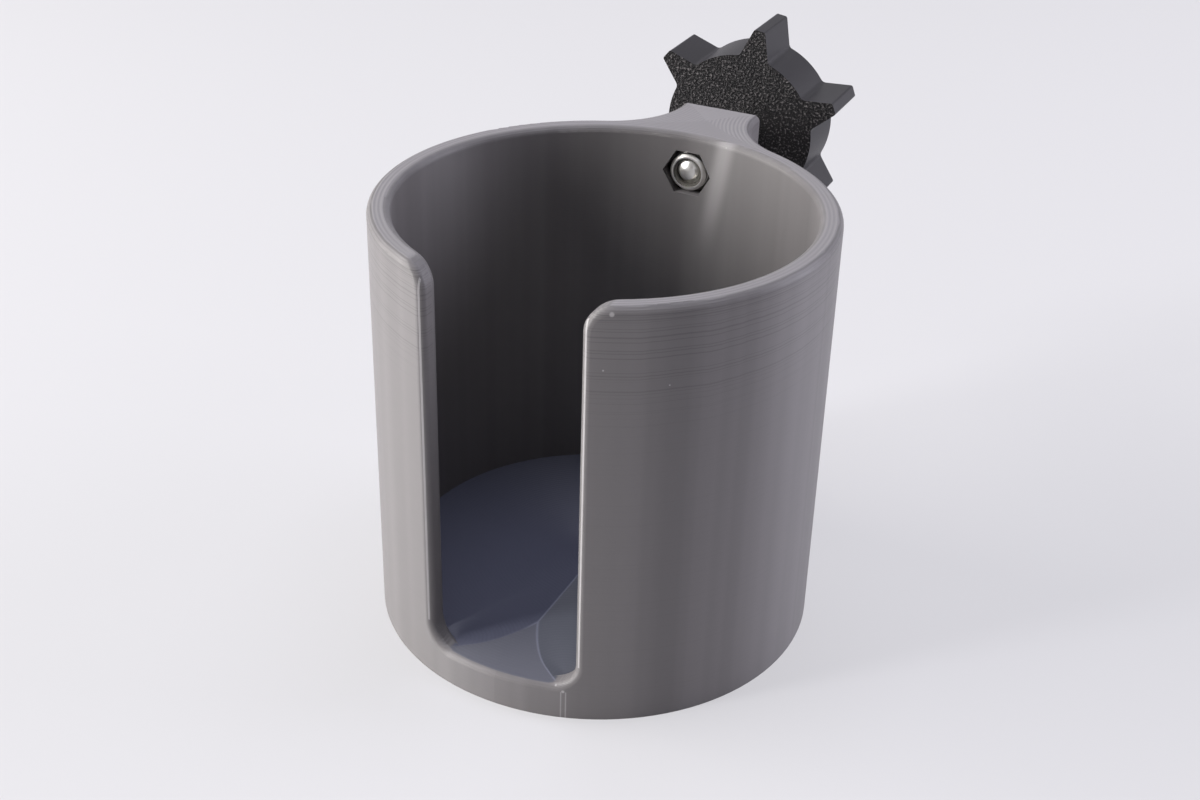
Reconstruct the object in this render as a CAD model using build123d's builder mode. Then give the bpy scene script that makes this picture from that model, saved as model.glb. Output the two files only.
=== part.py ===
"""Clamp-on cup holder: a printed cup with a handle slot and a neck, clamped by a star knob on a bolt.

Millimetres, +Z up. The origin is the middle of the cup's underside. The handle slot faces -Y, and the
neck and the clamp screw point along +Y.
"""

import os
from math import acos, atan2, cos, hypot, radians, sin, sqrt, tan

from build123d import *

# Cup
cup_outer_d = 100.0
cup_wall = 5.0
well_depth = 90.0
floor_thickness = 8.0
edge_round = 1.5

# Handle slot
slot_width = 34.0
slot_corner_r = 5.5
slot_mouth_r = 5.5

# Neck
neck_reach = 15.0
neck_width = 20.0
neck_height = 19.0
neck_flank_r = 20.0
neck_under_slope = 45.0

# Lock nut, M6
nut_flats = 10.0
nut_height = 6.0
nut_collar_d = 9.0
nut_collar_height = 1.8
nut_collar_wall = 0.5
nut_collar_chamfer = 0.6
nut_lip_overlap = 0.4
nut_lip_thickness = 0.5
nut_recess = 0.2
insert_height = 1.5

# Hexagon-head bolt, M6
bolt_d = 5.9
bolt_length = 40.0
bolt_point_chamfer = 0.8
bolt_end_recess = 0.3
head_flats = 10.0
head_height = 4.0

# Star knob
knob_hub_d = 38.0
knob_tip_d = 52.0
knob_thickness = 15.5
knob_seat = 7.5
arm_count = 6
arm_root_width = 7.6
arm_tip_width = 2.8
arm_root_fillet = 1.5
arm_tip_round = 0.6
arm_start_angle = 21.6

# Clearances, each on one side
thread_clearance = 0.05
insert_clearance = 0.03
nut_pocket_clearance = 0.2
neck_hole_clearance = 0.3
knob_hole_clearance = 0.1
head_pocket_clearance = 0.1

# Hexagons of nuts and bolts: side count, and the angle of the chamfer on their corners
hex_sides = 6
hex_chamfer_angle = 30.0

# Places that follow from the sizes above
outer_r = cup_outer_d / 2
inner_r = outer_r - cup_wall
cup_height = floor_thickness + well_depth
neck_end_y = outer_r + neck_reach
neck_under_z = cup_height - neck_height
bolt_z = cup_height - neck_height / 2
nut_face_y = inner_r + nut_recess
nut_seat_y = nut_face_y + nut_height
bolt_end_y = nut_face_y + bolt_end_recess
head_seat_y = bolt_end_y + bolt_length
knob_face_y = head_seat_y - knob_seat
knob_back_y = knob_face_y + knob_thickness
bolt_r = bolt_d / 2
bolt_axis = Axis((0, 0, bolt_z), (0, 1, 0))
axis_section = Plane((0, 0, bolt_z), x_dir=(0, 1, 0), z_dir=(1, 0, 0))


def across_bolt(y: float) -> Plane:
    """The plane square to the bolt at a distance y, seen from inside the cup: X to the right, Z up."""
    return Plane((0, y, bolt_z), x_dir=(1, 0, 0), z_dir=(0, -1, 0))


def hex_corner_r(flats: float) -> float:
    """The corner radius of a hexagon with this width across its flats."""
    return flats / 2 / cos(radians(180 / hex_sides))


def hex_chamfer_drop(flats: float) -> float:
    """How far a chamfer that starts at the flats' circle has come down at a hexagon's corners."""
    return (hex_corner_r(flats) - flats / 2) * tan(radians(hex_chamfer_angle))


# The neck's hollow flanks: an arc from each corner of its end face, tangent to the cup's wall
corner_reach = hypot(neck_width / 2, neck_end_y)
flank_centre_r = outer_r + neck_flank_r
flank_spread = acos(
    (flank_centre_r**2 + corner_reach**2 - neck_flank_r**2) / (2 * flank_centre_r * corner_reach)
)
flank_angle = atan2(neck_width / 2, neck_end_y) + flank_spread
flank_root = (outer_r * sin(flank_angle), outer_r * cos(flank_angle))
under_rise = neck_end_y * tan(radians(neck_under_slope))

# The cup: neck, wall and slot first, then their rounded edges, and the floor and the holes last
with BuildPart() as cup:
    with BuildSketch():
        with BuildLine():
            end_edge = Line((0, neck_end_y), (neck_width / 2, neck_end_y))
            flank = RadiusArc(end_edge @ 1, flank_root, -neck_flank_r)
            Line(flank @ 1, (0, flank_root[1]))
            mirror(about=Plane.YZ)
        make_face()
    extrude(amount=cup_height)
    # The neck's underside slopes from its end face back to the wall
    with BuildSketch(Plane.YZ):
        Polygon(
            (0, neck_under_z - under_rise),
            (neck_end_y, neck_under_z),
            (neck_end_y, -under_rise),
            (0, -under_rise),
            align=None,
        )
    extrude(amount=cup_outer_d, both=True, mode=Mode.SUBTRACT)
    with BuildSketch():
        Circle(outer_r)
    extrude(amount=cup_height)
    with BuildSketch():
        Circle(inner_r)
    extrude(amount=cup_height, mode=Mode.SUBTRACT)
    with BuildSketch(Plane.XZ):
        with Locations((0, floor_thickness + well_depth / 2)):
            slot = Rectangle(slot_width, well_depth)
        fillet(slot.vertices().group_by(Axis.Y)[0], slot_corner_r)
    extrude(amount=cup_outer_d, mode=Mode.SUBTRACT)
    mouth_edges = cup.edges().filter_by(Axis.Y).group_by(Axis.Z)[-1]
    fillet(mouth_edges.sort_by(Axis.Y)[:2], slot_mouth_r)
    # The rounding runs on from the sill along the slot's sides and the whole rim, inside and out
    sill_edges = cup.edges().filter_by(GeomType.CIRCLE).group_by(Axis.Z)[1]
    fillet(sill_edges, edge_round)
    with BuildSketch():
        Circle(inner_r + cup_wall / 2)
    extrude(amount=floor_thickness)
    # The nut's pocket is open to the well, with the bolt's hole behind it
    with BuildSketch(across_bolt(0)):
        RegularPolygon(nut_flats / 2 + nut_pocket_clearance, hex_sides, major_radius=False)
    extrude(amount=-nut_seat_y, mode=Mode.SUBTRACT)
    with BuildSketch(across_bolt(nut_seat_y)):
        Circle(bolt_r + neck_hole_clearance)
    extrude(amount=nut_seat_y - neck_end_y, mode=Mode.SUBTRACT)
cup.part.label = "cup"

# The lock nut: a hexagon turned down to a chamfered collar, with a groove for its nylon insert
collar_r = nut_collar_d / 2
groove_r = collar_r - nut_collar_wall
insert_r = groove_r - insert_clearance
insert_seat_y = nut_face_y + nut_lip_thickness + insert_height
nut_hex_y = nut_face_y + nut_collar_height
nut_drop = hex_chamfer_drop(nut_flats)

with BuildPart() as lock_nut:
    with BuildSketch(across_bolt(nut_seat_y)):
        RegularPolygon(nut_flats / 2, hex_sides, major_radius=False)
    extrude(amount=nut_height)
    with BuildSketch(axis_section):
        Polygon(
            (nut_face_y, 0),
            (nut_face_y, collar_r - nut_collar_chamfer),
            (nut_face_y + nut_collar_chamfer, collar_r),
            (nut_hex_y, collar_r),
            (nut_hex_y, nut_flats / 2),
            (nut_hex_y + nut_drop, hex_corner_r(nut_flats)),
            (nut_seat_y, hex_corner_r(nut_flats)),
            (nut_seat_y, 0),
            align=None,
        )
    revolve(axis=bolt_axis, mode=Mode.INTERSECT)
    with BuildSketch(across_bolt(nut_seat_y)):
        Circle(bolt_r + thread_clearance)
    extrude(amount=nut_height, mode=Mode.SUBTRACT)
    with BuildSketch(across_bolt(insert_seat_y)):
        Circle(groove_r)
    extrude(amount=insert_height, mode=Mode.SUBTRACT)
    with BuildSketch(across_bolt(nut_face_y)):
        Circle(insert_r - nut_lip_overlap)
    extrude(amount=-nut_lip_thickness, mode=Mode.SUBTRACT)
lock_nut.part.label = "lock_nut"

# The nylon insert, seated in the nut's groove behind its lip
with BuildPart() as nut_insert:
    with BuildSketch(across_bolt(insert_seat_y)):
        Circle(insert_r)
        Circle(bolt_r + thread_clearance, mode=Mode.SUBTRACT)
    extrude(amount=insert_height)
nut_insert.part.label = "nut_insert"

# The bolt: hexagon head with chamfered corners, plain shank and chamfered point
head_top_y = head_seat_y + head_height
head_drop = hex_chamfer_drop(head_flats)

with BuildPart() as bolt:
    with BuildSketch(across_bolt(head_seat_y)):
        RegularPolygon(head_flats / 2, hex_sides, major_radius=False)
    extrude(amount=-head_height)
    with BuildSketch(axis_section):
        Polygon(
            (head_seat_y, 0),
            (head_seat_y, hex_corner_r(head_flats)),
            (head_top_y - head_drop, hex_corner_r(head_flats)),
            (head_top_y, head_flats / 2),
            (head_top_y, 0),
            align=None,
        )
    revolve(axis=bolt_axis, mode=Mode.INTERSECT)
    with BuildSketch(across_bolt(head_seat_y)):
        Circle(bolt_r)
    extrude(amount=bolt_length)
    chamfer(bolt.edges().group_by(Axis.Y)[0], bolt_point_chamfer)
bolt.part.label = "bolt"

# The star knob: tapered arms around a hub, with the bolt's head sunk in its back
hub_r = knob_hub_d / 2
tip_r = knob_tip_d / 2
arm_root_r = sqrt(hub_r**2 - (arm_root_width / 2) ** 2)
corners_per_ring = 2 * arm_count

with BuildPart() as knob:
    with BuildSketch(across_bolt(knob_face_y)) as star:
        Circle(hub_r)
        with PolarLocations(0, arm_count, start_angle=arm_start_angle):
            Polygon(
                (0, arm_root_width / 2),
                (0, -arm_root_width / 2),
                (arm_root_r, -arm_root_width / 2),
                (tip_r, -arm_tip_width / 2),
                (tip_r, arm_tip_width / 2),
                (arm_root_r, arm_root_width / 2),
                align=None,
            )
        fillet(star.vertices().sort_by_distance((0, 0))[-corners_per_ring:], arm_tip_round)
        fillet(star.vertices().sort_by_distance((0, 0))[:corners_per_ring], arm_root_fillet)
    extrude(amount=-knob_thickness)
    with BuildSketch(across_bolt(knob_face_y)):
        Circle(bolt_r + knob_hole_clearance)
    extrude(amount=-knob_thickness, mode=Mode.SUBTRACT)
    with BuildSketch(across_bolt(head_seat_y)):
        RegularPolygon(head_flats / 2 + head_pocket_clearance, hex_sides, major_radius=False)
    extrude(amount=head_seat_y - knob_back_y, mode=Mode.SUBTRACT)
knob.part.label = "knob"

os.makedirs("parts", exist_ok=True)
for piece in (cup, lock_nut, nut_insert, bolt, knob):
    export_step(piece.part, f"parts/{piece.part.label}.step")
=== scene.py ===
"""Looks of a clamp-on cup holder: a grey printed cup, a black printed star knob and bright steel hardware.

Everything is in metres in the part's own frame: +Z up, the handle slot towards -Y, the neck and the
clamp screw towards +Y. Sizes in the classes below are in millimetres and are turned to metres once.
"""

from __future__ import annotations

import logging
import math
from dataclasses import dataclass
from enum import Enum
from typing import Any

import bmesh
import bpy
from mathutils import Matrix, Quaternion, Vector

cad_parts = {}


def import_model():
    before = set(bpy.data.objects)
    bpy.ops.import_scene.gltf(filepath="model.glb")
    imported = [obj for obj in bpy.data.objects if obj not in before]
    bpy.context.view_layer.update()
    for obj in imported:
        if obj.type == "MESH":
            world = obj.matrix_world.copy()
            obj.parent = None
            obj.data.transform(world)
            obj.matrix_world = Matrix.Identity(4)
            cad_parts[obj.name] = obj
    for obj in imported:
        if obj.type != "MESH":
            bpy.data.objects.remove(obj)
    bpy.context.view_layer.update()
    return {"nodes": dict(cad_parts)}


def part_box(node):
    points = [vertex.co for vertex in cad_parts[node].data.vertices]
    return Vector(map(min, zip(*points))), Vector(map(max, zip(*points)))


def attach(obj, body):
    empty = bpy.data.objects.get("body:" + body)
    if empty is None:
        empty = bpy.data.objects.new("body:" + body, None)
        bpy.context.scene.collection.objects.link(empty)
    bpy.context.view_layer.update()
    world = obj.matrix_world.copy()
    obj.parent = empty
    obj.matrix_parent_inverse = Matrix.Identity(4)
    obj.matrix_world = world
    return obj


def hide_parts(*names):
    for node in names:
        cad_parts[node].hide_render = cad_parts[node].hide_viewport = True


LOG = logging.getLogger("cup_holder")
MM = 0.001

# A wave texture of scale 1 turns through this many radians per unit
WAVE_FACTOR = 20.0

# The kinds of node that the finishes use most
MATH = "ShaderNodeMath"
VECTOR_MATH = "ShaderNodeVectorMath"
MAP_RANGE = "ShaderNodeMapRange"
MIX = "ShaderNodeMix"

Socket = bpy.types.NodeSocket
Tree = bpy.types.NodeTree


class Slot(Enum):
    """The record's material slots, each with a finish of its own."""

    GREY_PRINT = "grey_print"
    BLACK_PRINT = "black_print"
    ZINC_STEEL = "zinc_steel"
    NYLON = "nylon"


Finishes = dict[Slot, bpy.types.Material]


def linear(hex_code: str) -> tuple[float, float, float, float]:
    """Turns an sRGB hex colour to the linear values that shaders take.

    Args:
        hex_code: A colour such as "#8A8685".

    Returns:
        Linear red, green, blue and an alpha of 1.
    """
    channels = []
    for start in (1, 3, 5):
        value = int(hex_code[start : start + 2], 16) / 255
        channels.append(value / 12.92 if value <= 0.04045 else ((value + 0.055) / 1.055) ** 2.4)
    return (channels[0], channels[1], channels[2], 1.0)


def wave_scale(period_mm: float) -> float:
    """The scale at which a wave texture repeats every so many millimetres on Object coordinates."""
    return 2 * math.pi / (WAVE_FACTOR * period_mm * MM)


def grain_scale(size_mm: float) -> float:
    """The scale at which a noise's grain is about so many millimetres on Object coordinates."""
    return 1 / (size_mm * MM)


def add_node(
    tree: Tree, kind: str, inputs: dict[str | int, Any] | None = None, **settings: Any
) -> bpy.types.Node:
    """Adds a node with its settings and links.

    Args:
        tree: The node tree that gets the node.
        kind: The node's Blender type.
        inputs: By the name or number of an input, a value to set or an output socket to link.
        settings: Values of the node's own properties.

    Returns:
        The new node.
    """
    node = tree.nodes.new(kind)
    for name, value in settings.items():
        setattr(node, name, value)
    for name, value in (inputs or {}).items():
        if isinstance(value, bpy.types.NodeSocket):
            tree.links.new(value, node.inputs[name])
        else:
            node.inputs[name].default_value = value
    return node


def new_material(name: str) -> tuple[bpy.types.Material, Tree]:
    """Makes an empty node material.

    Args:
        name: The material's name.

    Returns:
        The material and its cleared node tree.
    """
    material = bpy.data.materials.new(name)
    material.use_nodes = True
    material.node_tree.nodes.clear()
    return material, material.node_tree


def dress(piece: bpy.types.Object, material: bpy.types.Material) -> None:
    """Gives a piece one material over all its faces."""
    piece.data.materials.clear()
    piece.data.materials.append(material)


def new_piece(name: str, mesh: bmesh.types.BMesh, smooth_angle_deg: float = 35.0) -> bpy.types.Object:
    """Turns a finished bmesh into an object at the origin and frees the bmesh.

    Args:
        name: The piece's name.
        mesh: The finished mesh, in metres in the part's frame.
        smooth_angle_deg: Edges that turn by less than this are shaded smooth.

    Returns:
        The new object, linked to the scene.
    """
    bmesh.ops.recalc_face_normals(mesh, faces=mesh.faces)
    for face in mesh.faces:
        face.smooth = True
    limit = math.radians(smooth_angle_deg)
    for edge in mesh.edges:
        edge.smooth = len(edge.link_faces) == 2 and edge.calc_face_angle(math.pi) < limit
    data = bpy.data.meshes.new(name)
    mesh.to_mesh(data)
    mesh.free()
    piece = bpy.data.objects.new(name, data)
    bpy.context.scene.collection.objects.link(piece)
    return piece


@dataclass(frozen=True)
class Spot:
    """Where a shaded point lies, in millimetres in the part's frame, as sockets of one node tree.

    flat is the point without its height, from_axis is its distance from the cup's axis, and aside is its
    distance from the middle plane through the slot and the neck.
    """

    point: Socket
    x: Socket
    y: Socket
    z: Socket
    flat: Socket
    from_axis: Socket
    aside: Socket


@dataclass(frozen=True)
class GreyPrint:
    """Grey PLA, printed upright: satin walls of level layers, and flat tops of strands laid side by side.

    Light streaks up and down across the layers. On the floor, the rim and the neck the strands run
    parallel to the nearest edge, so patches that follow different edges catch the light differently,
    and a fine crease shows where two patches meet. The patches' tones, the crease's highlight and the
    lighter tops are painted sheen, and the darker floor and well are painted shade.
    """

    wall_hex: str = "#737071"
    # Painted sheen: the flat tops are lighter and bluer than the walls, as they catch the light from above
    top_hex: str = "#868385"
    # Painted shade and a painted bluish reflection of the light above: the well's floor is darker and bluer
    # than the walls
    floor_hex: str = "#575968"
    # Painted sheen: the floor's front and right patches, and the pale crease highlight where patches meet
    front_patch_sheen_hex: str = "#5C5D67"
    right_patch_sheen_hex: str = "#53555E"
    crease_highlight_hex: str = "#7E8090"
    # Pale specks and seam ridges, and painted highlights: the slot's bright edges and the reflection streak
    specks_and_highlight_hex: str = "#B4B1B2"
    ior: float = 1.46
    roughness: float = 0.47
    gloss: float = 0.38
    anisotropy: float = 0.85
    relief_strength: float = 0.7
    # How far up a normal points where a face begins to count as a flat top, and where it fully does
    top_facing: tuple[float, float] = (0.96, 0.995)
    # Real layers are 0.2 mm high. They are drawn at twice that, so that they show in the render
    layer_mm: float = 0.4
    layer_depth_mm: float = 0.012
    # The rounded rim shows its layers as terraces, which deepen between these two slopes
    terrace_depth_mm: float = 0.05
    terrace_slopes: tuple[float, float] = (0.1, 0.7)
    # Real strands are 0.45 mm wide. They are drawn at twice that, so that they show in the render
    strand_mm: float = 0.9
    strand_depth_mm: float = 0.03
    floor_strand_depth_mm: float = 0.01
    # The cup's own sizes and levels
    outer_r: float = 50.0
    well_r: float = 45.0
    rim_inner_r: float = 46.5
    floor_z: float = 8.0
    floor_margin: float = 1.0
    slot_corner_r: float = 5.5
    sill_front_r: float = 48.5
    sill_half: float = 13.3
    neck_end_y: float = 65.0
    flank_r: float = 21.5
    flank_centre: tuple[float, float] = (29.92, 63.29)
    # The patches behind the slot open wider than the sill by this factor, and meet in fine creases
    corner_spread: float = 1.35
    crease_mm: float = 0.35
    crease_strength: float = 0.7
    # The creases' painted highlight shows on the right, past the second of these X, and hardly shows on the
    # left, in shade
    crease_lit_x: tuple[float, float] = (-2.0, 0.0)
    crease_unlit: float = 0.15
    # The rim's tone, and how much lighter, as painted sheen, the strands along the neck's flanks and its end
    # are
    rim_level: float = 0.95
    flank_lift: float = 0.05
    end_lift: float = 0.12
    # An edge counts as the nearest where its distance is within this of the least
    same_mm: float = 0.01
    # Soft upright bands around the wall: how close they are, and the tones that they vary between
    bands_per_radian: float = 6.0
    band_range: tuple[float, float] = (0.3, 0.7)
    band_tones: tuple[float, float] = (0.93, 1.07)
    # Dark contour lines on the outer wall, full above the second of these levels and faint below the first
    contour_mm: float = 0.55
    contour_wander_mm: float = 0.5
    contour_range: tuple[float, float] = (0.42, 0.32)
    contour_z: tuple[float, float] = (70.0, 84.0)
    contour_faint: float = 0.12
    contour_tone: float = 0.8
    # Two layers that show as dark lines around the rim's outer edge: their levels, and the lines' width
    terrace_z: tuple[float, ...] = (95.5, 96.5)
    terrace_mm: float = 0.25
    # Painted shade: the well's wall is darker than the outside
    well_shade_level: float = 0.86
    # The painted reflection streak: a point on its middle line, its lean, its half width and that of its core
    streak_x: float = 7.8
    streak_z: float = 86.0
    streak_lean: float = 0.157
    streak_mm: float = 3.6
    streak_core_mm: float = 0.3
    # The levels between which the streak grows to its strength, and the stretch of wall that has it
    streak_fade_z: tuple[float, float] = (66.0, 88.0)
    streak_strength: float = 0.42
    streak_y: tuple[float, float] = (30.0, 45.1)
    # The seam's ridges: degrees from -Y towards +X
    seam_angles: tuple[float, ...] = (17.2, 18.4)
    seam_mm: float = 0.3
    seam_top_z: float = 6.9
    seam_strength: float = 0.55
    # A painted highlight: the bright line on the slot's rounded outer edges
    edge_highlight_x: float = 18.1
    edge_highlight_mm: float = 0.4
    edge_highlight_y: float = -45.5
    # Pale specks: X, Y, Z and radius
    specks: tuple[tuple[float, float, float, float], ...] = (
        (9.8, 43.9, 97.0, 0.35),
        (15.2, -47.6, 7.0, 0.45),
        (13.4, -47.6, 8.2, 0.4),
        (22.5, -44.6, 96.7, 0.6),
        (21.3, -45.2, 84.9, 0.25),
        (32.2, -38.3, 81.2, 0.22),
    )
    mark_strength: float = 0.7

    def build(self) -> bpy.types.Material:
        """Makes the material.

        Returns:
            The finished material.
        """
        material, tree = new_material("grey_pla_printed")
        coords = add_node(tree, "ShaderNodeTexCoord")
        place = coords.outputs["Object"]
        rise = add_node(tree, "ShaderNodeSeparateXYZ", {0: coords.outputs["Normal"]}).outputs["Z"]
        spot = self.find_spot(tree, place)
        up = add_node(
            tree,
            MAP_RANGE,
            {"Value": rise, "From Min": self.top_facing[0], "From Max": self.top_facing[1]},
            interpolation_type="SMOOTHSTEP",
        ).outputs[0]
        on_floor = add_node(
            tree, MATH, {0: spot.z, 1: self.floor_z + self.floor_margin}, operation="LESS_THAN"
        ).outputs[0]
        floor_gap, floor_way, floor_tone = self.floor_strands(tree, spot)
        rim_gap, rim_way, rim_tone = self.rim_strands(tree, spot)
        strand_gap = add_node(
            tree, MIX, {0: on_floor, 2: rim_gap, 3: floor_gap}, data_type="FLOAT"
        ).outputs[0]
        strand_way = add_node(
            tree, MIX, {0: on_floor, 4: rim_way, 5: floor_way}, data_type="VECTOR"
        ).outputs[1]
        top_tone = add_node(tree, MIX, {0: on_floor, 6: rim_tone, 7: floor_tone}, data_type="RGBA").outputs[2]
        tone = add_node(
            tree, MIX, {0: up, 6: self.wall_tone(tree, spot), 7: top_tone}, data_type="RGBA"
        ).outputs[2]
        across_strands = add_node(
            tree, MIX, {0: up, 4: (0.0, 0.0, 1.0), 5: strand_way}, data_type="VECTOR"
        ).outputs[1]
        layers = self.layer_relief(tree, place, rise)
        strands = self.strand_relief(tree, strand_gap, on_floor)
        relief = add_node(tree, MIX, {0: up, 4: layers, 5: strands}, data_type="VECTOR").outputs[1]
        shader = add_node(
            tree,
            "ShaderNodeBsdfPrincipled",
            {
                "Base Color": tone,
                "Roughness": self.roughness,
                "IOR": self.ior,
                "Specular IOR Level": self.gloss,
                "Anisotropic": self.anisotropy,
                "Normal": relief,
                "Tangent": across_strands,
            },
        )
        add_node(tree, "ShaderNodeOutputMaterial", {"Surface": shader.outputs[0]})
        return material

    def find_spot(self, tree: Tree, place: Socket) -> Spot:
        """Measures a point in millimetres, from the cup's axis and from its middle plane.

        Args:
            tree: The material's node tree.
            place: The point's Object coordinates.

        Returns:
            The point and its measures.
        """
        point = add_node(tree, VECTOR_MATH, {0: place, "Scale": 1 / MM}, operation="SCALE").outputs[0]
        x, y, z = add_node(tree, "ShaderNodeSeparateXYZ", {0: point}).outputs
        flat = add_node(tree, "ShaderNodeCombineXYZ", {"X": x, "Y": y}).outputs[0]
        from_axis = add_node(tree, VECTOR_MATH, {0: flat}, operation="LENGTH").outputs["Value"]
        aside = add_node(tree, MATH, {0: x}, operation="ABSOLUTE").outputs[0]
        return Spot(point, x, y, z, flat, from_axis, aside)

    def layer_relief(self, tree: Tree, place: Socket, rise: Socket) -> Socket:
        """Relief of the layers, faint on upright walls and stepped on rounded edges.

        Args:
            tree: The material's node tree.
            place: The point's Object coordinates.
            rise: How far up the normal points.

        Returns:
            The bumped normal.
        """
        layers = add_node(
            tree,
            "ShaderNodeTexWave",
            {"Vector": place, "Scale": wave_scale(self.layer_mm)},
            wave_type="BANDS",
            bands_direction="Z",
        ).outputs["Fac"]
        slope = add_node(tree, MATH, {0: rise}, operation="ABSOLUTE").outputs[0]
        depth = add_node(
            tree,
            MAP_RANGE,
            {
                "Value": slope,
                "From Min": self.terrace_slopes[0],
                "From Max": self.terrace_slopes[1],
                "To Min": self.layer_depth_mm * MM,
                "To Max": self.terrace_depth_mm * MM,
            },
        ).outputs[0]
        return add_node(
            tree, "ShaderNodeBump", {"Height": layers, "Strength": self.relief_strength, "Distance": depth}
        ).outputs[0]

    def strand_relief(self, tree: Tree, strand_gap: Socket, on_floor: Socket) -> Socket:
        """Relief of the strands on flat tops.

        Args:
            tree: The material's node tree.
            strand_gap: The distance in millimetres to the edge that the strands follow.
            on_floor: The mask of the floor, whose strands are flatter.

        Returns:
            The bumped normal.
        """
        phase = add_node(
            tree, MATH, {0: strand_gap, 1: 2 * math.pi / self.strand_mm}, operation="MULTIPLY"
        ).outputs[0]
        ridges = add_node(tree, MATH, {0: phase}, operation="SINE").outputs[0]
        depth = add_node(
            tree,
            MAP_RANGE,
            {
                "Value": on_floor,
                "To Min": self.strand_depth_mm * MM,
                "To Max": self.floor_strand_depth_mm * MM,
            },
        ).outputs[0]
        return add_node(
            tree, "ShaderNodeBump", {"Height": ridges, "Strength": self.relief_strength, "Distance": depth}
        ).outputs[0]

    def wall_tone(self, tree: Tree, spot: Spot) -> Socket:
        """Wall colour: soft bands, dark contour lines, painted shade, painted highlights and pale marks.

        Args:
            tree: The material's node tree.
            spot: The point and its measures.

        Returns:
            The colour socket.
        """
        turn = add_node(tree, MATH, {0: spot.x, 1: spot.y}, operation="ARCTAN2").outputs[0]
        bands = add_node(
            tree,
            "ShaderNodeTexNoise",
            {"W": turn, "Scale": self.bands_per_radian, "Detail": 2.0},
            noise_dimensions="1D",
        ).outputs["Fac"]
        shade = add_node(
            tree,
            MAP_RANGE,
            {
                "Value": bands,
                "From Min": self.band_range[0],
                "From Max": self.band_range[1],
                "To Min": self.band_tones[0],
                "To Max": self.band_tones[1],
            },
        ).outputs[0]
        darker = add_node(
            tree,
            MAP_RANGE,
            {"Value": self.contour_lines(tree, spot, bands), "To Min": 1.0, "To Max": self.contour_tone},
        ).outputs[0]
        # Painted shade inside the well
        well_shade = add_node(
            tree,
            MAP_RANGE,
            {
                "Value": spot.from_axis,
                "From Min": self.well_r,
                "From Max": self.rim_inner_r,
                "To Min": self.well_shade_level,
            },
            interpolation_type="SMOOTHSTEP",
        ).outputs[0]
        banded = add_node(tree, MATH, {0: shade, 1: darker}, operation="MULTIPLY").outputs[0]
        level = add_node(tree, MATH, {0: banded, 1: well_shade}, operation="MULTIPLY").outputs[0]
        plain = add_node(
            tree, VECTOR_MATH, {0: linear(self.wall_hex)[:3], "Scale": level}, operation="SCALE"
        ).outputs[0]
        streak = self.pale_streak(tree, spot)
        marks = self.pale_marks(tree, spot, turn)
        pale = add_node(tree, MATH, {0: streak, 1: marks}, operation="MAXIMUM").outputs[0]
        return add_node(
            tree, MIX, {0: pale, 6: plain, 7: linear(self.specks_and_highlight_hex)}, data_type="RGBA"
        ).outputs[2]

    def contour_lines(self, tree: Tree, spot: Spot, bands: Socket) -> Socket:
        """A mask of the dark lines around the outer wall, which wander a little up and down on their way.

        Args:
            tree: The material's node tree.
            spot: The point and its measures.
            bands: The noise around the wall that the lines wander with.

        Returns:
            The mask's socket, 0 to 1.
        """
        wander = add_node(
            tree, MATH, {0: bands, 1: self.contour_wander_mm, 2: spot.z}, operation="MULTIPLY_ADD"
        ).outputs[0]
        noise = add_node(
            tree,
            "ShaderNodeTexNoise",
            {"W": wander, "Scale": 1 / self.contour_mm, "Detail": 1.0, "Roughness": 0.6},
            noise_dimensions="1D",
        ).outputs["Fac"]
        lines = add_node(
            tree,
            MAP_RANGE,
            {"Value": noise, "From Min": self.contour_range[0], "From Max": self.contour_range[1]},
        ).outputs[0]
        near_rim = add_node(
            tree,
            MAP_RANGE,
            {
                "Value": spot.z,
                "From Min": self.contour_z[0],
                "From Max": self.contour_z[1],
                "To Min": self.contour_faint,
            },
            interpolation_type="SMOOTHSTEP",
        ).outputs[0]
        mask = add_node(tree, MATH, {0: lines, 1: near_rim}, operation="MULTIPLY").outputs[0]
        for level_z in self.terrace_z:
            terrace = add_node(
                tree, MATH, {0: spot.z, 1: level_z, 2: self.terrace_mm / 2}, operation="COMPARE"
            ).outputs[0]
            mask = add_node(tree, MATH, {0: mask, 1: terrace}, operation="MAXIMUM").outputs[0]
        outside = add_node(
            tree, MATH, {0: spot.from_axis, 1: self.rim_inner_r}, operation="GREATER_THAN"
        ).outputs[0]
        return add_node(tree, MATH, {0: mask, 1: outside}, operation="MULTIPLY").outputs[0]

    def pale_streak(self, tree: Tree, spot: Spot) -> Socket:
        """A mask of the pale streak down the inner wall beside the nut's pocket: a painted reflection of the
        lights.

        Args:
            tree: The material's node tree.
            spot: The point and its measures.

        Returns:
            The mask's socket, 0 to 1.
        """
        foot_x = self.streak_x - self.streak_z * self.streak_lean
        middle = add_node(
            tree, MATH, {0: spot.z, 1: self.streak_lean, 2: foot_x}, operation="MULTIPLY_ADD"
        ).outputs[0]
        off = add_node(tree, MATH, {0: spot.x, 1: middle}, operation="SUBTRACT").outputs[0]
        beside = add_node(tree, MATH, {0: off}, operation="ABSOLUTE").outputs[0]
        mask = add_node(
            tree,
            MAP_RANGE,
            {"Value": beside, "From Min": self.streak_mm, "From Max": self.streak_core_mm},
            interpolation_type="SMOOTHSTEP",
        ).outputs[0]
        along = add_node(
            tree,
            MAP_RANGE,
            {
                "Value": spot.z,
                "From Min": self.streak_fade_z[0],
                "From Max": self.streak_fade_z[1],
                "To Max": self.streak_strength,
            },
            interpolation_type="SMOOTHSTEP",
        ).outputs[0]
        at_back = add_node(tree, MATH, {0: spot.y, 1: self.streak_y[0]}, operation="GREATER_THAN").outputs[0]
        inside = add_node(tree, MATH, {0: spot.y, 1: self.streak_y[1]}, operation="LESS_THAN").outputs[0]
        for limit in (along, at_back, inside):
            mask = add_node(tree, MATH, {0: mask, 1: limit}, operation="MULTIPLY").outputs[0]
        return mask

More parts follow.
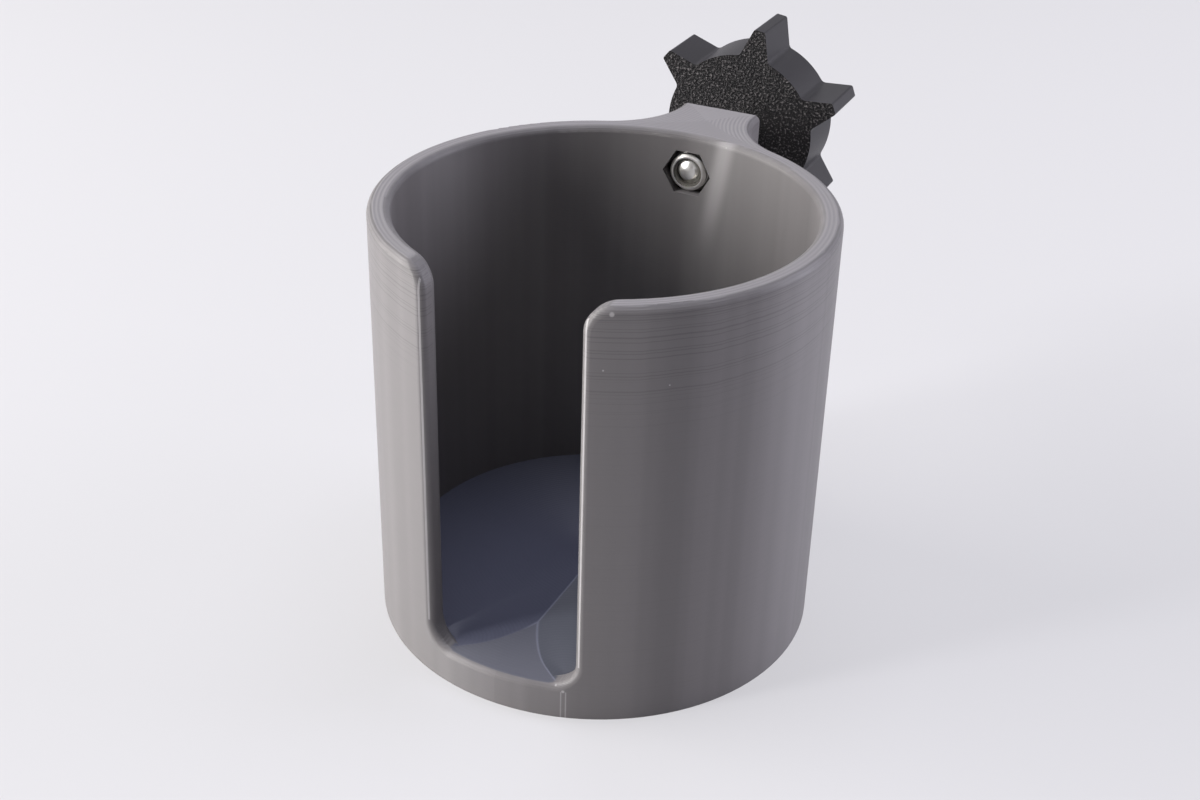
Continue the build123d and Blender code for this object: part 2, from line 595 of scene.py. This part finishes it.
    def pale_marks(self, tree: Tree, spot: Spot, turn: Socket) -> Socket:
        """A mask of small pale marks: specks, the painted highlight on the slot's edges, and the sill's seam
        ridges.

        Args:
            tree: The material's node tree.
            spot: The point and its measures.
            turn: The angle around the cup's axis.

        Returns:
            The mask's socket, 0 to 1.
        """
        low = add_node(tree, MATH, {0: spot.z, 1: self.seam_top_z}, operation="LESS_THAN").outputs[0]
        seam = add_node(tree, MATH, {0: low, 1: self.seam_strength}, operation="MULTIPLY").outputs[0]
        mask = self.slot_edge_highlight(tree, spot)
        for angle in self.seam_angles:
            ridge = add_node(
                tree,
                MATH,
                {0: turn, 1: math.pi - math.radians(angle), 2: self.seam_mm / 2 / self.outer_r},
                operation="COMPARE",
            ).outputs[0]
            mark = add_node(tree, MATH, {0: ridge, 1: seam}, operation="MULTIPLY").outputs[0]
            mask = add_node(tree, MATH, {0: mask, 1: mark}, operation="MAXIMUM").outputs[0]
        for *centre, radius in self.specks:
            reach = add_node(
                tree, VECTOR_MATH, {0: spot.point, 1: centre}, operation="DISTANCE"
            ).outputs["Value"]
            mark = add_node(
                tree, MAP_RANGE, {"Value": reach, "From Min": radius, "From Max": radius / 2}
            ).outputs[0]
            mask = add_node(tree, MATH, {0: mask, 1: mark}, operation="MAXIMUM").outputs[0]
        return add_node(tree, MATH, {0: mask, 1: self.mark_strength}, operation="MULTIPLY").outputs[0]

    def slot_edge_highlight(self, tree: Tree, spot: Spot) -> Socket:
        """A mask of the painted highlight: a fine bright line along the outer edges of the handle slot.

        Args:
            tree: The material's node tree.
            spot: The point and its measures.

        Returns:
            The mask's socket, 0 or 1.
        """
        mask = add_node(
            tree, MATH, {0: spot.aside, 1: self.edge_highlight_x, 2: self.edge_highlight_mm / 2}, operation="COMPARE"
        ).outputs[0]
        outside = add_node(tree, MATH, {0: spot.y, 1: self.edge_highlight_y}, operation="LESS_THAN").outputs[0]
        above = add_node(
            tree, MATH, {0: spot.z, 1: self.floor_z + self.slot_corner_r}, operation="GREATER_THAN"
        ).outputs[0]
        for limit in (outside, above):
            mask = add_node(tree, MATH, {0: mask, 1: limit}, operation="MULTIPLY").outputs[0]
        return mask

    def floor_strands(self, tree: Tree, spot: Spot) -> tuple[Socket, Socket, Socket]:
        """The floor's strands, which run parallel to the well's wall, the sill's front or the slot's corners.

        Args:
            tree: The material's node tree.
            spot: The point and its measures.

        Returns:
            The distance to the edge that the strands follow, the direction across them, and the colour.
        """
        corner_y = -math.sqrt(self.well_r**2 - self.sill_half**2)
        gap_x = add_node(tree, MATH, {0: spot.aside, 1: self.sill_half}, operation="SUBTRACT").outputs[0]
        behind = add_node(tree, MATH, {0: spot.y, 1: corner_y}, operation="SUBTRACT").outputs[0]
        gap_y = add_node(tree, MATH, {0: behind, 1: 0.0}, operation="MAXIMUM").outputs[0]
        side = add_node(tree, MATH, {0: spot.x}, operation="SIGN").outputs[0]
        way_x = add_node(tree, MATH, {0: gap_x, 1: side}, operation="MULTIPLY").outputs[0]
        corner_way = add_node(tree, "ShaderNodeCombineXYZ", {"X": way_x, "Y": gap_y}).outputs[0]
        from_corner = add_node(tree, VECTOR_MATH, {0: corner_way}, operation="LENGTH").outputs["Value"]
        to_wall = add_node(tree, MATH, {0: self.well_r, 1: spot.from_axis}, operation="SUBTRACT").outputs[0]
        to_front = add_node(
            tree, MATH, {0: self.sill_front_r, 1: spot.from_axis}, operation="SUBTRACT"
        ).outputs[0]
        spread = self.corner_spread * self.sill_half / corner_y
        wedge = add_node(tree, MATH, {0: spot.y, 1: spread}, operation="MULTIPLY").outputs[0]
        behind_slot = add_node(tree, MATH, {0: spot.aside, 1: wedge}, operation="LESS_THAN").outputs[0]
        near_corner = add_node(tree, MATH, {0: from_corner, 1: to_front}, operation="LESS_THAN").outputs[0]
        at_corner = add_node(tree, MATH, {0: behind_slot, 1: near_corner}, operation="MULTIPLY").outputs[0]
        at_front = add_node(tree, MATH, {0: behind_slot, 1: at_corner}, operation="SUBTRACT").outputs[0]
        nearest = add_node(tree, MATH, {0: from_corner, 1: to_front}, operation="MINIMUM").outputs[0]
        gap = add_node(tree, MIX, {0: behind_slot, 2: to_wall, 3: nearest}, data_type="FLOAT").outputs[0]
        way = add_node(tree, MIX, {0: at_corner, 4: spot.flat, 5: corner_way}, data_type="VECTOR").outputs[1]
        on_right = add_node(tree, MATH, {0: spot.x, 1: 0.0}, operation="GREATER_THAN").outputs[0]
        right_patch = add_node(tree, MATH, {0: at_corner, 1: on_right}, operation="MULTIPLY").outputs[0]
        between = add_node(tree, MATH, {0: from_corner, 1: to_front}, operation="SUBTRACT").outputs[0]
        front_gap = add_node(tree, MATH, {0: between}, operation="ABSOLUTE").outputs[0]
        corner_gap = add_node(
            tree, MIX, {0: at_corner, 2: front_gap, 3: spot.aside}, data_type="FLOAT"
        ).outputs[0]
        crease_gap = add_node(tree, MATH, {0: corner_gap, 1: front_gap}, operation="MINIMUM").outputs[0]
        crease = add_node(
            tree,
            MAP_RANGE,
            {
                "Value": crease_gap,
                "From Min": self.crease_mm,
                "From Max": 0.0,
                "To Max": self.crease_strength,
            },
        ).outputs[0]
        lit = add_node(
            tree,
            MAP_RANGE,
            {
                "Value": spot.x,
                "From Min": self.crease_lit_x[0],
                "From Max": self.crease_lit_x[1],
                "To Min": self.crease_unlit,
            },
        ).outputs[0]
        for limit in (lit, behind_slot):
            crease = add_node(tree, MATH, {0: crease, 1: limit}, operation="MULTIPLY").outputs[0]
        # Painted sheen and highlight: the patches' tones and the pale crease stand for the light that the
        # strands catch
        layers = (
            (at_front, self.front_patch_sheen_hex),
            (right_patch, self.right_patch_sheen_hex),
            (crease, self.crease_highlight_hex),
        )
        tone: Socket | tuple[float, float, float, float] = linear(self.floor_hex)
        for mask, hex_code in layers:
            tone = add_node(tree, MIX, {0: mask, 6: tone, 7: linear(hex_code)}, data_type="RGBA").outputs[2]
        return gap, way, tone

    def rim_strands(self, tree: Tree, spot: Spot) -> tuple[Socket, Socket, Socket]:
        """The strands of the rim and the neck's top, which follow the well, the neck's flanks or its end.

        Args:
            tree: The material's node tree.
            spot: The point and its measures.

        Returns:
            The distance to the edge that the strands follow, the direction across them, and the colour.
        """
        folded = add_node(tree, "ShaderNodeCombineXYZ", {"X": spot.aside, "Y": spot.y}).outputs[0]
        to_well = add_node(
            tree, MATH, {0: spot.from_axis, 1: self.rim_inner_r}, operation="SUBTRACT"
        ).outputs[0]
        from_flank = add_node(
            tree, VECTOR_MATH, {0: folded, 1: (*self.flank_centre, 0.0)}, operation="DISTANCE"
        ).outputs["Value"]
        to_flank = add_node(tree, MATH, {0: from_flank, 1: self.flank_r}, operation="SUBTRACT").outputs[0]
        to_end = add_node(tree, MATH, {0: self.neck_end_y, 1: spot.y}, operation="SUBTRACT").outputs[0]
        outside = add_node(tree, MATH, {0: to_flank, 1: to_end}, operation="MINIMUM").outputs[0]
        gap = add_node(tree, MATH, {0: outside, 1: to_well}, operation="MINIMUM").outputs[0]
        at_end = add_node(tree, MATH, {0: to_end, 1: gap, 2: self.same_mm}, operation="COMPARE").outputs[0]
        at_flank = add_node(
            tree, MATH, {0: to_flank, 1: gap, 2: self.same_mm}, operation="COMPARE"
        ).outputs[0]
        way = add_node(
            tree, MIX, {0: at_end, 4: spot.flat, 5: (0.0, 1.0, 0.0)}, data_type="VECTOR"
        ).outputs[1]
        # Painted sheen: the strands along the neck's flanks and its end are lighter
        level: Socket | float = self.rim_level
        for mask, lift in ((at_flank, self.flank_lift), (at_end, self.end_lift)):
            level = add_node(tree, MATH, {0: mask, 1: lift, 2: level}, operation="MULTIPLY_ADD").outputs[0]
        tone = add_node(
            tree, VECTOR_MATH, {0: linear(self.top_hex)[:3], "Scale": level}, operation="SCALE"
        ).outputs[0]
        return gap, way, tone


@dataclass(frozen=True)
class BlackPrint:
    """Black PLA, printed face down on a pebbled plate: its face sparkles, its sides and back are satin."""

    side_hex: str = "#1F1D23"
    face_hex: str = "#131214"
    glint_hex: str = "#8A8586"
    ior: float = 1.46
    gloss: float = 0.2
    roughness: float = 0.4
    # The face is where normals point this far towards the cup. Pale flecks on its pebbles' tops are painted
    # glints
    face_limit: float = -0.9
    pebble_mm: float = 0.6
    pebble_depth_mm: float = 0.45
    pebble_roughness: float = 0.35
    glint_range: tuple[float, float] = (0.54, 0.74)
    glint_strength: float = 0.7
    # Real layers are 0.2 mm high. They are drawn at twice that, so that they show in the render
    layer_mm: float = 0.4
    layer_depth_mm: float = 0.015
    layer_strength: float = 0.7

    def build(self) -> bpy.types.Material:
        """Makes the material.

        Returns:
            The finished material.
        """
        material, tree = new_material("black_pla_printed")
        coords = add_node(tree, "ShaderNodeTexCoord")
        place = coords.outputs["Object"]
        facing = add_node(tree, "ShaderNodeSeparateXYZ", {0: coords.outputs["Normal"]}).outputs["Y"]
        on_face = add_node(tree, MATH, {0: facing, 1: self.face_limit}, operation="LESS_THAN").outputs[0]
        pebbles = add_node(
            tree,
            "ShaderNodeTexNoise",
            {"Vector": place, "Scale": grain_scale(self.pebble_mm), "Detail": 2.0, "Roughness": 0.6},
        ).outputs["Fac"]
        layers = add_node(
            tree,
            "ShaderNodeTexWave",
            {"Vector": place, "Scale": wave_scale(self.layer_mm)},
            wave_type="BANDS",
            bands_direction="Y",
        ).outputs["Fac"]
        pebble_bump = add_node(
            tree,
            "ShaderNodeBump",
            {"Height": pebbles, "Strength": 1.0, "Distance": self.pebble_depth_mm * MM},
        ).outputs[0]
        layer_bump = add_node(
            tree,
            "ShaderNodeBump",
            {"Height": layers, "Strength": self.layer_strength, "Distance": self.layer_depth_mm * MM},
        ).outputs[0]
        relief = add_node(
            tree, MIX, {0: on_face, 4: layer_bump, 5: pebble_bump}, data_type="VECTOR"
        ).outputs[1]
        # Painted glints on the pebbles' tops
        glints = add_node(
            tree,
            MAP_RANGE,
            {
                "Value": pebbles,
                "From Min": self.glint_range[0],
                "From Max": self.glint_range[1],
                "To Max": self.glint_strength,
            },
        ).outputs[0]
        face_tone = add_node(
            tree, MIX, {0: glints, 6: linear(self.face_hex), 7: linear(self.glint_hex)}, data_type="RGBA"
        ).outputs[2]
        tone = add_node(
            tree, MIX, {0: on_face, 6: linear(self.side_hex), 7: face_tone}, data_type="RGBA"
        ).outputs[2]
        roughness = add_node(
            tree, MAP_RANGE, {"Value": on_face, "To Min": self.roughness, "To Max": self.pebble_roughness}
        ).outputs[0]
        shader = add_node(
            tree,
            "ShaderNodeBsdfPrincipled",
            {
                "Base Color": tone,
                "Roughness": roughness,
                "IOR": self.ior,
                "Specular IOR Level": self.gloss,
                "Normal": relief,
            },
        )
        add_node(tree, "ShaderNodeOutputMaterial", {"Surface": shader.outputs[0]})
        return material


@dataclass(frozen=True)
class ZincSteel:
    """Bright zinc-plated steel: a satin silver, duller where tools have scuffed it."""

    bright_hex: str = "#F3F1EE"
    dull_hex: str = "#DEDCD8"
    roughness: tuple[float, float] = (0.3, 0.46)
    scuff_mm: float = 1.2
    scuff_depth_mm: float = 0.005
    scuff_strength: float = 0.3
    # Painted shade: the nut's hexagon, outside its collar and up to this Y, is dull and dark in its pocket
    pocket_shade_hex: str = "#4A4844"
    shade_from_r: float = 4.55
    shade_end_y: float = 52.0
    axis_z: float = 88.5

    def build(self) -> bpy.types.Material:
        """Makes the material.

        Returns:
            The finished material.
        """
        material, tree = new_material("zinc_plated_steel")
        place = add_node(tree, "ShaderNodeTexCoord").outputs["Object"]
        scuffs = add_node(
            tree,
            "ShaderNodeTexNoise",
            {"Vector": place, "Scale": grain_scale(self.scuff_mm), "Detail": 4.0, "Roughness": 0.65},
        ).outputs["Fac"]
        plated_tone = add_node(
            tree, MIX, {0: scuffs, 6: linear(self.bright_hex), 7: linear(self.dull_hex)}, data_type="RGBA"
        ).outputs[2]
        from_axis = add_node(
            tree,
            VECTOR_MATH,
            {0: place, 1: (-1.0, 0.0, -1.0), 2: (0.0, 0.0, self.axis_z * MM)},
            operation="MULTIPLY_ADD",
        ).outputs[0]
        reach = add_node(tree, VECTOR_MATH, {0: from_axis}, operation="LENGTH").outputs["Value"]
        off_collar = add_node(
            tree, MATH, {0: reach, 1: self.shade_from_r * MM}, operation="GREATER_THAN"
        ).outputs[0]
        along = add_node(tree, "ShaderNodeSeparateXYZ", {0: place}).outputs["Y"]
        in_pocket = add_node(
            tree, MATH, {0: along, 1: self.shade_end_y * MM}, operation="LESS_THAN"
        ).outputs[0]
        # Painted shade on the hexagon in its pocket
        pocket_shade = add_node(tree, MATH, {0: off_collar, 1: in_pocket}, operation="MULTIPLY").outputs[0]
        tone = add_node(tree, MIX, {0: pocket_shade, 6: plated_tone, 7: linear(self.pocket_shade_hex)}, data_type="RGBA").outputs[2]
        roughness = add_node(
            tree, MAP_RANGE, {"Value": scuffs, "To Min": self.roughness[0], "To Max": self.roughness[1]}
        ).outputs[0]
        relief = add_node(
            tree,
            "ShaderNodeBump",
            {"Height": scuffs, "Strength": self.scuff_strength, "Distance": self.scuff_depth_mm * MM},
        ).outputs[0]
        shader = add_node(
            tree,
            "ShaderNodeBsdfPrincipled",
            {"Base Color": tone, "Metallic": 1.0, "Roughness": roughness, "Normal": relief},
        )
        add_node(tree, "ShaderNodeOutputMaterial", {"Surface": shader.outputs[0]})
        return material


@dataclass(frozen=True)
class NutNylon:
    """Moulded nylon in painted shade: a dull, dark ring between the bright collar and the bolt's end."""

    # Both tones are darkened as painted shade of the insert's recess
    light_hex: str = "#6A6761"
    dark_hex: str = "#3B3936"
    ior: float = 1.53
    roughness: float = 0.5
    grain_mm: float = 0.5
    grain_depth_mm: float = 0.05
    grain_strength: float = 0.3

    def build(self) -> bpy.types.Material:
        """Makes the material.

        Returns:
            The finished material.
        """
        material, tree = new_material("moulded_nylon")
        place = add_node(tree, "ShaderNodeTexCoord").outputs["Object"]
        grain = add_node(
            tree, "ShaderNodeTexNoise", {"Vector": place, "Scale": grain_scale(self.grain_mm), "Detail": 3.0}
        ).outputs["Fac"]
        tone = add_node(
            tree, MIX, {0: grain, 6: linear(self.light_hex), 7: linear(self.dark_hex)}, data_type="RGBA"
        ).outputs[2]
        relief = add_node(
            tree,
            "ShaderNodeBump",
            {"Height": grain, "Strength": self.grain_strength, "Distance": self.grain_depth_mm * MM},
        ).outputs[0]
        shader = add_node(
            tree,
            "ShaderNodeBsdfPrincipled",
            {"Base Color": tone, "Roughness": self.roughness, "IOR": self.ior, "Normal": relief},
        )
        add_node(tree, "ShaderNodeOutputMaterial", {"Surface": shader.outputs[0]})
        return material


@dataclass
class PrintedCup:
    """The grey cup with its handle slot and neck."""

    node: str = "cup"

    def build(self, nodes: dict[str, bpy.types.Object], finishes: Finishes) -> None:
        """Dresses the cup's CAD node.

        Args:
            nodes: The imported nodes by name.
            finishes: The materials by slot.
        """
        dress(nodes[self.node], finishes[Slot.GREY_PRINT])
        LOG.info("%s dressed", self.node)


@dataclass
class ClampHardware:
    """The steel bolt with its thread, the lock nut and its nylon insert."""

    bolt_node: str = "bolt"
    nut_node: str = "lock_nut"
    insert_node: str = "nut_insert"
    body: str = "clamp_screw"
    thread_d: float = 5.9
    pitch: float = 1.0
    thread_depth: float = 0.55
    # One pitch of the thread: where its corners are, as shares of the pitch, and which are on the crest
    profile: tuple[tuple[float, bool], ...] = (
        (0.0, True),
        (0.125, True),
        (0.44, False),
        (0.69, False),
        (1.0, True),
    )
    # Corners this near are one, and a cut takes corners this near its plane, as shares of the pitch
    weld_share: float = 0.005
    cut_share: float = 0.002
    # Corners within this of the thread's start are on its first edge loop
    level_mm: float = 0.01
    # Turns made past the shank's two ends, which the cuts take off
    spare_turns: int = 2
    point_chamfer: float = 0.8
    point_dome: float = 0.4
    head_sides: int = 6
    head_flats: float = 10.0
    head_height: float = 4.0
    head_bevel: float = 0.25
    steps_per_turn: int = 32

    def build(self, nodes: dict[str, bpy.types.Object], finishes: Finishes) -> None:
        """Makes the threaded bolt and dresses the nut and its insert.

        Args:
            nodes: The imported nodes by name.
            finishes: The materials by slot.
        """
        dress(nodes[self.nut_node], finishes[Slot.ZINC_STEEL])
        dress(nodes[self.insert_node], finishes[Slot.NYLON])
        bolt = self.threaded_bolt()
        dress(bolt, finishes[Slot.ZINC_STEEL])
        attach(bolt, self.body)
        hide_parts(self.bolt_node)
        LOG.info("%s made, %s and %s dressed", bolt.name, self.nut_node, self.insert_node)

    def threaded_bolt(self) -> bpy.types.Object:
        """Makes the bolt: a helical thread along the shank, a domed point and a hexagon head.

        Returns:
            The bolt's object.
        """
        low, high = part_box(self.bolt_node)
        axis_z = (low.z + high.z) / 2
        end_y = low.y
        seat_y = high.y - self.head_height * MM
        start_y = end_y + self.point_chamfer * MM
        mesh = bmesh.new()
        self.add_thread(mesh, axis_z, start_y, seat_y)
        self.add_point(mesh, axis_z, start_y, end_y)
        self.add_head(mesh, axis_z, seat_y)
        return new_piece("threaded_bolt", mesh)

    def add_thread(self, mesh: bmesh.types.BMesh, axis_z: float, start_y: float, seat_y: float) -> None:
        """Spins one pitch of thread profile along the shank and trims it square at both ends.

        Args:
            mesh: The mesh that gets the thread.
            axis_z: Height of the bolt's axis.
            start_y: Where the thread begins, at the chamfered point.
            seat_y: Where it ends, at the head's underside.
        """
        crest_r = self.thread_d / 2 * MM
        root_r = crest_r - self.thread_depth * MM
        pitch = self.pitch * MM
        turns = math.ceil((seat_y - start_y) / pitch) + self.spare_turns
        first_y = start_y - pitch
        verts = []
        for share, on_crest in self.profile:
            radius = crest_r if on_crest else root_r
            verts.append(mesh.verts.new((0.0, first_y + share * pitch, axis_z + radius)))
        edges = [mesh.edges.new(pair) for pair in zip(verts, verts[1:])]
        bmesh.ops.spin(
            mesh,
            geom=verts + edges,
            cent=(0.0, first_y, axis_z),
            axis=(0.0, 1.0, 0.0),
            dvec=(0.0, pitch / self.steps_per_turn, 0.0),
            angle=2 * math.pi * turns,
            steps=self.steps_per_turn * turns,
            use_merge=False,
        )
        bmesh.ops.remove_doubles(mesh, verts=mesh.verts, dist=pitch * self.weld_share)
        for cut_y, outward in ((start_y, -1.0), (seat_y, 1.0)):
            bmesh.ops.bisect_plane(
                mesh,
                geom=mesh.verts[:] + mesh.edges[:] + mesh.faces[:],
                dist=pitch * self.cut_share,
                plane_co=(0.0, cut_y, axis_z),
                plane_no=(0.0, outward, 0.0),
                clear_outer=True,
            )

    def add_point(self, mesh: bmesh.types.BMesh, axis_z: float, start_y: float, end_y: float) -> None:
        """Draws the thread's first edge loop in to a chamfered point with a slightly domed end.

        Args:
            mesh: The mesh with the thread.
            axis_z: Height of the bolt's axis.
            start_y: Where the thread begins.
            end_y: The bolt's end.
        """
        rim = [
            edge
            for edge in mesh.edges
            if edge.is_boundary and all(abs(v.co.y - start_y) < self.level_mm * MM for v in edge.verts)
        ]
        drawn = bmesh.ops.extrude_edge_only(mesh, edges=rim)
        verts = [item for item in drawn["geom"] if isinstance(item, bmesh.types.BMVert)]
        edges = [item for item in drawn["geom"] if isinstance(item, bmesh.types.BMEdge)]
        shrink = 1 - self.point_chamfer / (self.thread_d / 2)
        bmesh.ops.scale(
            mesh,
            vec=(shrink, 1.0, shrink),
            space=Matrix.Translation((0.0, -start_y, -axis_z)),
            verts=verts,
        )
        bmesh.ops.translate(mesh, vec=(0.0, end_y - start_y, 0.0), verts=verts)
        filled = bmesh.ops.edgeloop_fill(mesh, edges=edges)
        fan = bmesh.ops.poke(mesh, faces=filled["faces"])
        bmesh.ops.translate(mesh, vec=(0.0, -self.point_dome * MM, 0.0), verts=fan["verts"])

    def add_head(self, mesh: bmesh.types.BMesh, axis_z: float, seat_y: float) -> None:
        """Adds the hexagon head behind the thread's end.

        Args:
            mesh: The mesh with the thread.
            axis_z: Height of the bolt's axis.
            seat_y: The head's underside.
        """
        half_side = math.pi / self.head_sides
        corner_r = self.head_flats / 2 / math.cos(half_side) * MM
        made = bmesh.ops.create_circle(
            mesh,
            cap_ends=True,
            segments=self.head_sides,
            radius=corner_r,
            matrix=Matrix.Translation((0.0, seat_y, axis_z)) @ Matrix.Rotation(math.pi / 2, 4, "X"),
        )
        bmesh.ops.rotate(
            mesh,
            cent=(0.0, seat_y, axis_z),
            matrix=Matrix.Rotation(half_side, 3, "Y"),
            verts=made["verts"],
        )
        underside = made["verts"][0].link_faces[:]
        raised = bmesh.ops.extrude_face_region(mesh, geom=underside, use_keep_orig=True)
        top = [item for item in raised["geom"] if isinstance(item, bmesh.types.BMVert)]
        bmesh.ops.translate(mesh, vec=(0.0, self.head_height * MM, 0.0), verts=top)
        rim = [edge for edge in mesh.edges if all(v in top for v in edge.verts)]
        bmesh.ops.bevel(
            mesh,
            geom=rim,
            offset=self.head_bevel * MM,
            offset_type="OFFSET",
            affect="EDGES",
            segments=2,
            profile=0.5,
            material=-1,
        )


@dataclass
class StarKnob:
    """The black star knob."""

    node: str = "knob"

    def build(self, nodes: dict[str, bpy.types.Object], finishes: Finishes) -> None:
        """Dresses the knob's CAD node.

        Args:
            nodes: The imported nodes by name.
            finishes: The materials by slot.
        """
        dress(nodes[self.node], finishes[Slot.BLACK_PRINT])
        LOG.info("%s dressed", self.node)


@dataclass(frozen=True)
class SoftLight:
    """One rectangular area light. Lengths are in millimetres and the power is in watts."""

    name: str
    place: tuple[float, float, float]
    width: float
    height: float
    power: float
    hex_code: str


@dataclass
class Studio:
    """Floor, soft lights, world and the camera at the photograph's angle."""

    floor_hex: str = "#CCCBCE"
    floor_r: float = 3000.0
    floor_sides: int = 96
    floor_roughness: float = 0.9
    glow_hex: str = "#E8E7EA"
    glow_share: float = 0.6
    fill_hex: str = "#E9EAF4"
    fill_strength: float = 0.2
    # The room's open front: how bright it is against the back, and the Y of the directions where it ends
    front_strength: float = 0.22
    front_way: tuple[float, float] = (-0.8, -0.45)
    lights: tuple[SoftLight, ...] = (
        SoftLight("left_softbox", (-1066.0, -431.0, 430.0), 1100.0, 1100.0, 27.5, "#FFFCF7"),
        SoftLight("front_strip", (-770.0, -855.0, 350.0), 160.0, 1100.0, 11.0, "#FFFFFF"),
        SoftLight("right_softbox", (950.0, 680.0, 420.0), 700.0, 900.0, 12.0, "#F4F2FF"),
        SoftLight("top_softbox", (0.0, 300.0, 1500.0), 900.0, 900.0, 10.0, "#EEF0FF"),
    )
    camera_place: tuple[float, float, float] = (136.47, -296.03, 236.03)
    camera_target: tuple[float, float, float] = (0.0, 0.0, 50.0)
    camera_roll_deg: float = 1.61
    lens: float = 50.13
    sensor: float = 36.0

    def build(self) -> None:
        """Makes the stage, the lights, the world and the camera."""
        self.make_floor()
        self.make_world()
        for light in self.lights:
            self.hang_light(light)
        self.make_camera()
        LOG.info("studio made")

    def make_floor(self) -> None:
        """Makes the pale floor, which glows a little for the camera so that shadows on it stay soft."""
        mesh = bmesh.new()
        bmesh.ops.create_circle(
            mesh, cap_ends=True, segments=self.floor_sides, radius=self.floor_r * MM
        )
        floor = new_piece("floor", mesh)
        material, tree = new_material("pale_paper")
        paper = add_node(
            tree,
            "ShaderNodeBsdfPrincipled",
            {"Base Color": linear(self.floor_hex), "Roughness": self.floor_roughness},
        ).outputs[0]
        glow = add_node(
            tree, "ShaderNodeEmission", {"Color": linear(self.glow_hex), "Strength": 1.0}
        ).outputs[0]
        share = add_node(
            tree, MATH, {0: self.seen_rays(tree), 1: self.glow_share}, operation="MULTIPLY"
        ).outputs[0]
        shader = add_node(tree, "ShaderNodeMixShader", {0: share, 1: paper, 2: glow})
        add_node(tree, "ShaderNodeOutputMaterial", {"Surface": shader.outputs[0]})
        dress(floor, material)

    def seen_rays(self, tree: Tree) -> Socket:
        """A mask of the rays that show the background: seen directly, mirrored or through glass.

        Args:
            tree: The node tree that gets the mask.

        Returns:
            The mask's socket, 0 or 1.
        """
        path = add_node(tree, "ShaderNodeLightPath").outputs
        mirrored = add_node(
            tree, MATH, {0: path["Is Glossy Ray"], 1: path["Is Transmission Ray"]}, operation="MAXIMUM"
        ).outputs[0]
        return add_node(tree, MATH, {0: path["Is Camera Ray"], 1: mirrored}, operation="MAXIMUM").outputs[0]

    def make_world(self) -> None:
        """Fills the room with soft light. It is white at the back and darker on its open front side."""
        world = bpy.data.worlds.new("soft_room")
        bpy.context.scene.world = world
        world.use_nodes = True
        tree = world.node_tree
        tree.nodes.clear()
        way = add_node(tree, "ShaderNodeTexCoord").outputs["Generated"]
        toward = add_node(tree, "ShaderNodeSeparateXYZ", {0: way}).outputs["Y"]
        level = add_node(
            tree,
            MAP_RANGE,
            {
                "Value": toward,
                "From Min": self.front_way[0],
                "From Max": self.front_way[1],
                "To Min": self.front_strength,
            },
            interpolation_type="SMOOTHSTEP",
        ).outputs[0]
        dimmed = add_node(tree, MATH, {0: level, 1: self.fill_strength}, operation="MULTIPLY").outputs[0]
        fill = add_node(
            tree, "ShaderNodeBackground", {"Color": linear(self.fill_hex), "Strength": dimmed}
        ).outputs[0]
        # The camera sees a pale room all round. Mirrored rays see its darker front too
        direct = add_node(tree, "ShaderNodeLightPath").outputs["Is Camera Ray"]
        seen_level = add_node(tree, MATH, {0: level, 1: direct}, operation="MAXIMUM").outputs[0]
        backdrop = add_node(
            tree, "ShaderNodeBackground", {"Color": linear(self.glow_hex), "Strength": seen_level}
        ).outputs[0]
        shown = add_node(tree, "ShaderNodeMixShader", {0: self.seen_rays(tree), 1: fill, 2: backdrop})
        add_node(tree, "ShaderNodeOutputWorld", {"Surface": shown.outputs[0]})

    def aim(self, place: Vector) -> Quaternion:
        """The turn that points a light or the camera from a place in metres at the cup's middle."""
        return (Vector(self.camera_target) * MM - place).to_track_quat("-Z", "Y")

    def hang_light(self, light: SoftLight) -> None:
        """Hangs one light so that it points at the cup.

        Args:
            light: The light's place, size, power and colour.
        """
        data = bpy.data.lights.new(light.name, "AREA")
        data.shape = "RECTANGLE"
        data.size, data.size_y = light.width * MM, light.height * MM
        data.energy = light.power
        data.color = linear(light.hex_code)[:3]
        lamp = bpy.data.objects.new(light.name, data)
        lamp.location = Vector(light.place) * MM
        lamp.rotation_euler = self.aim(lamp.location).to_euler()
        bpy.context.scene.collection.objects.link(lamp)

    def make_camera(self) -> None:
        """Places the camera where the photograph was taken from."""
        data = bpy.data.cameras.new("camera")
        data.lens = self.lens
        data.sensor_width = self.sensor
        camera = bpy.data.objects.new("camera", data)
        camera.location = Vector(self.camera_place) * MM
        roll = Quaternion((0.0, 0.0, 1.0), math.radians(self.camera_roll_deg))
        camera.rotation_mode = "QUATERNION"
        camera.rotation_quaternion = self.aim(camera.location) @ roll
        bpy.context.scene.collection.objects.link(camera)
        bpy.context.scene.camera = camera
        bpy.context.scene.view_settings.view_transform = "Standard"


def main() -> None:
    """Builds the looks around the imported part."""
    logging.basicConfig(level=logging.INFO, format="%(name)s: %(message)s")
    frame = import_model()
    nodes = frame["nodes"]
    finishes = {
        Slot.GREY_PRINT: GreyPrint().build(),
        Slot.BLACK_PRINT: BlackPrint().build(),
        Slot.ZINC_STEEL: ZincSteel().build(),
        Slot.NYLON: NutNylon().build(),
    }
    for assembly in (PrintedCup(), ClampHardware(), StarKnob()):
        assembly.build(nodes, finishes)
    Studio().build()


if __name__ == "__main__":
    main()
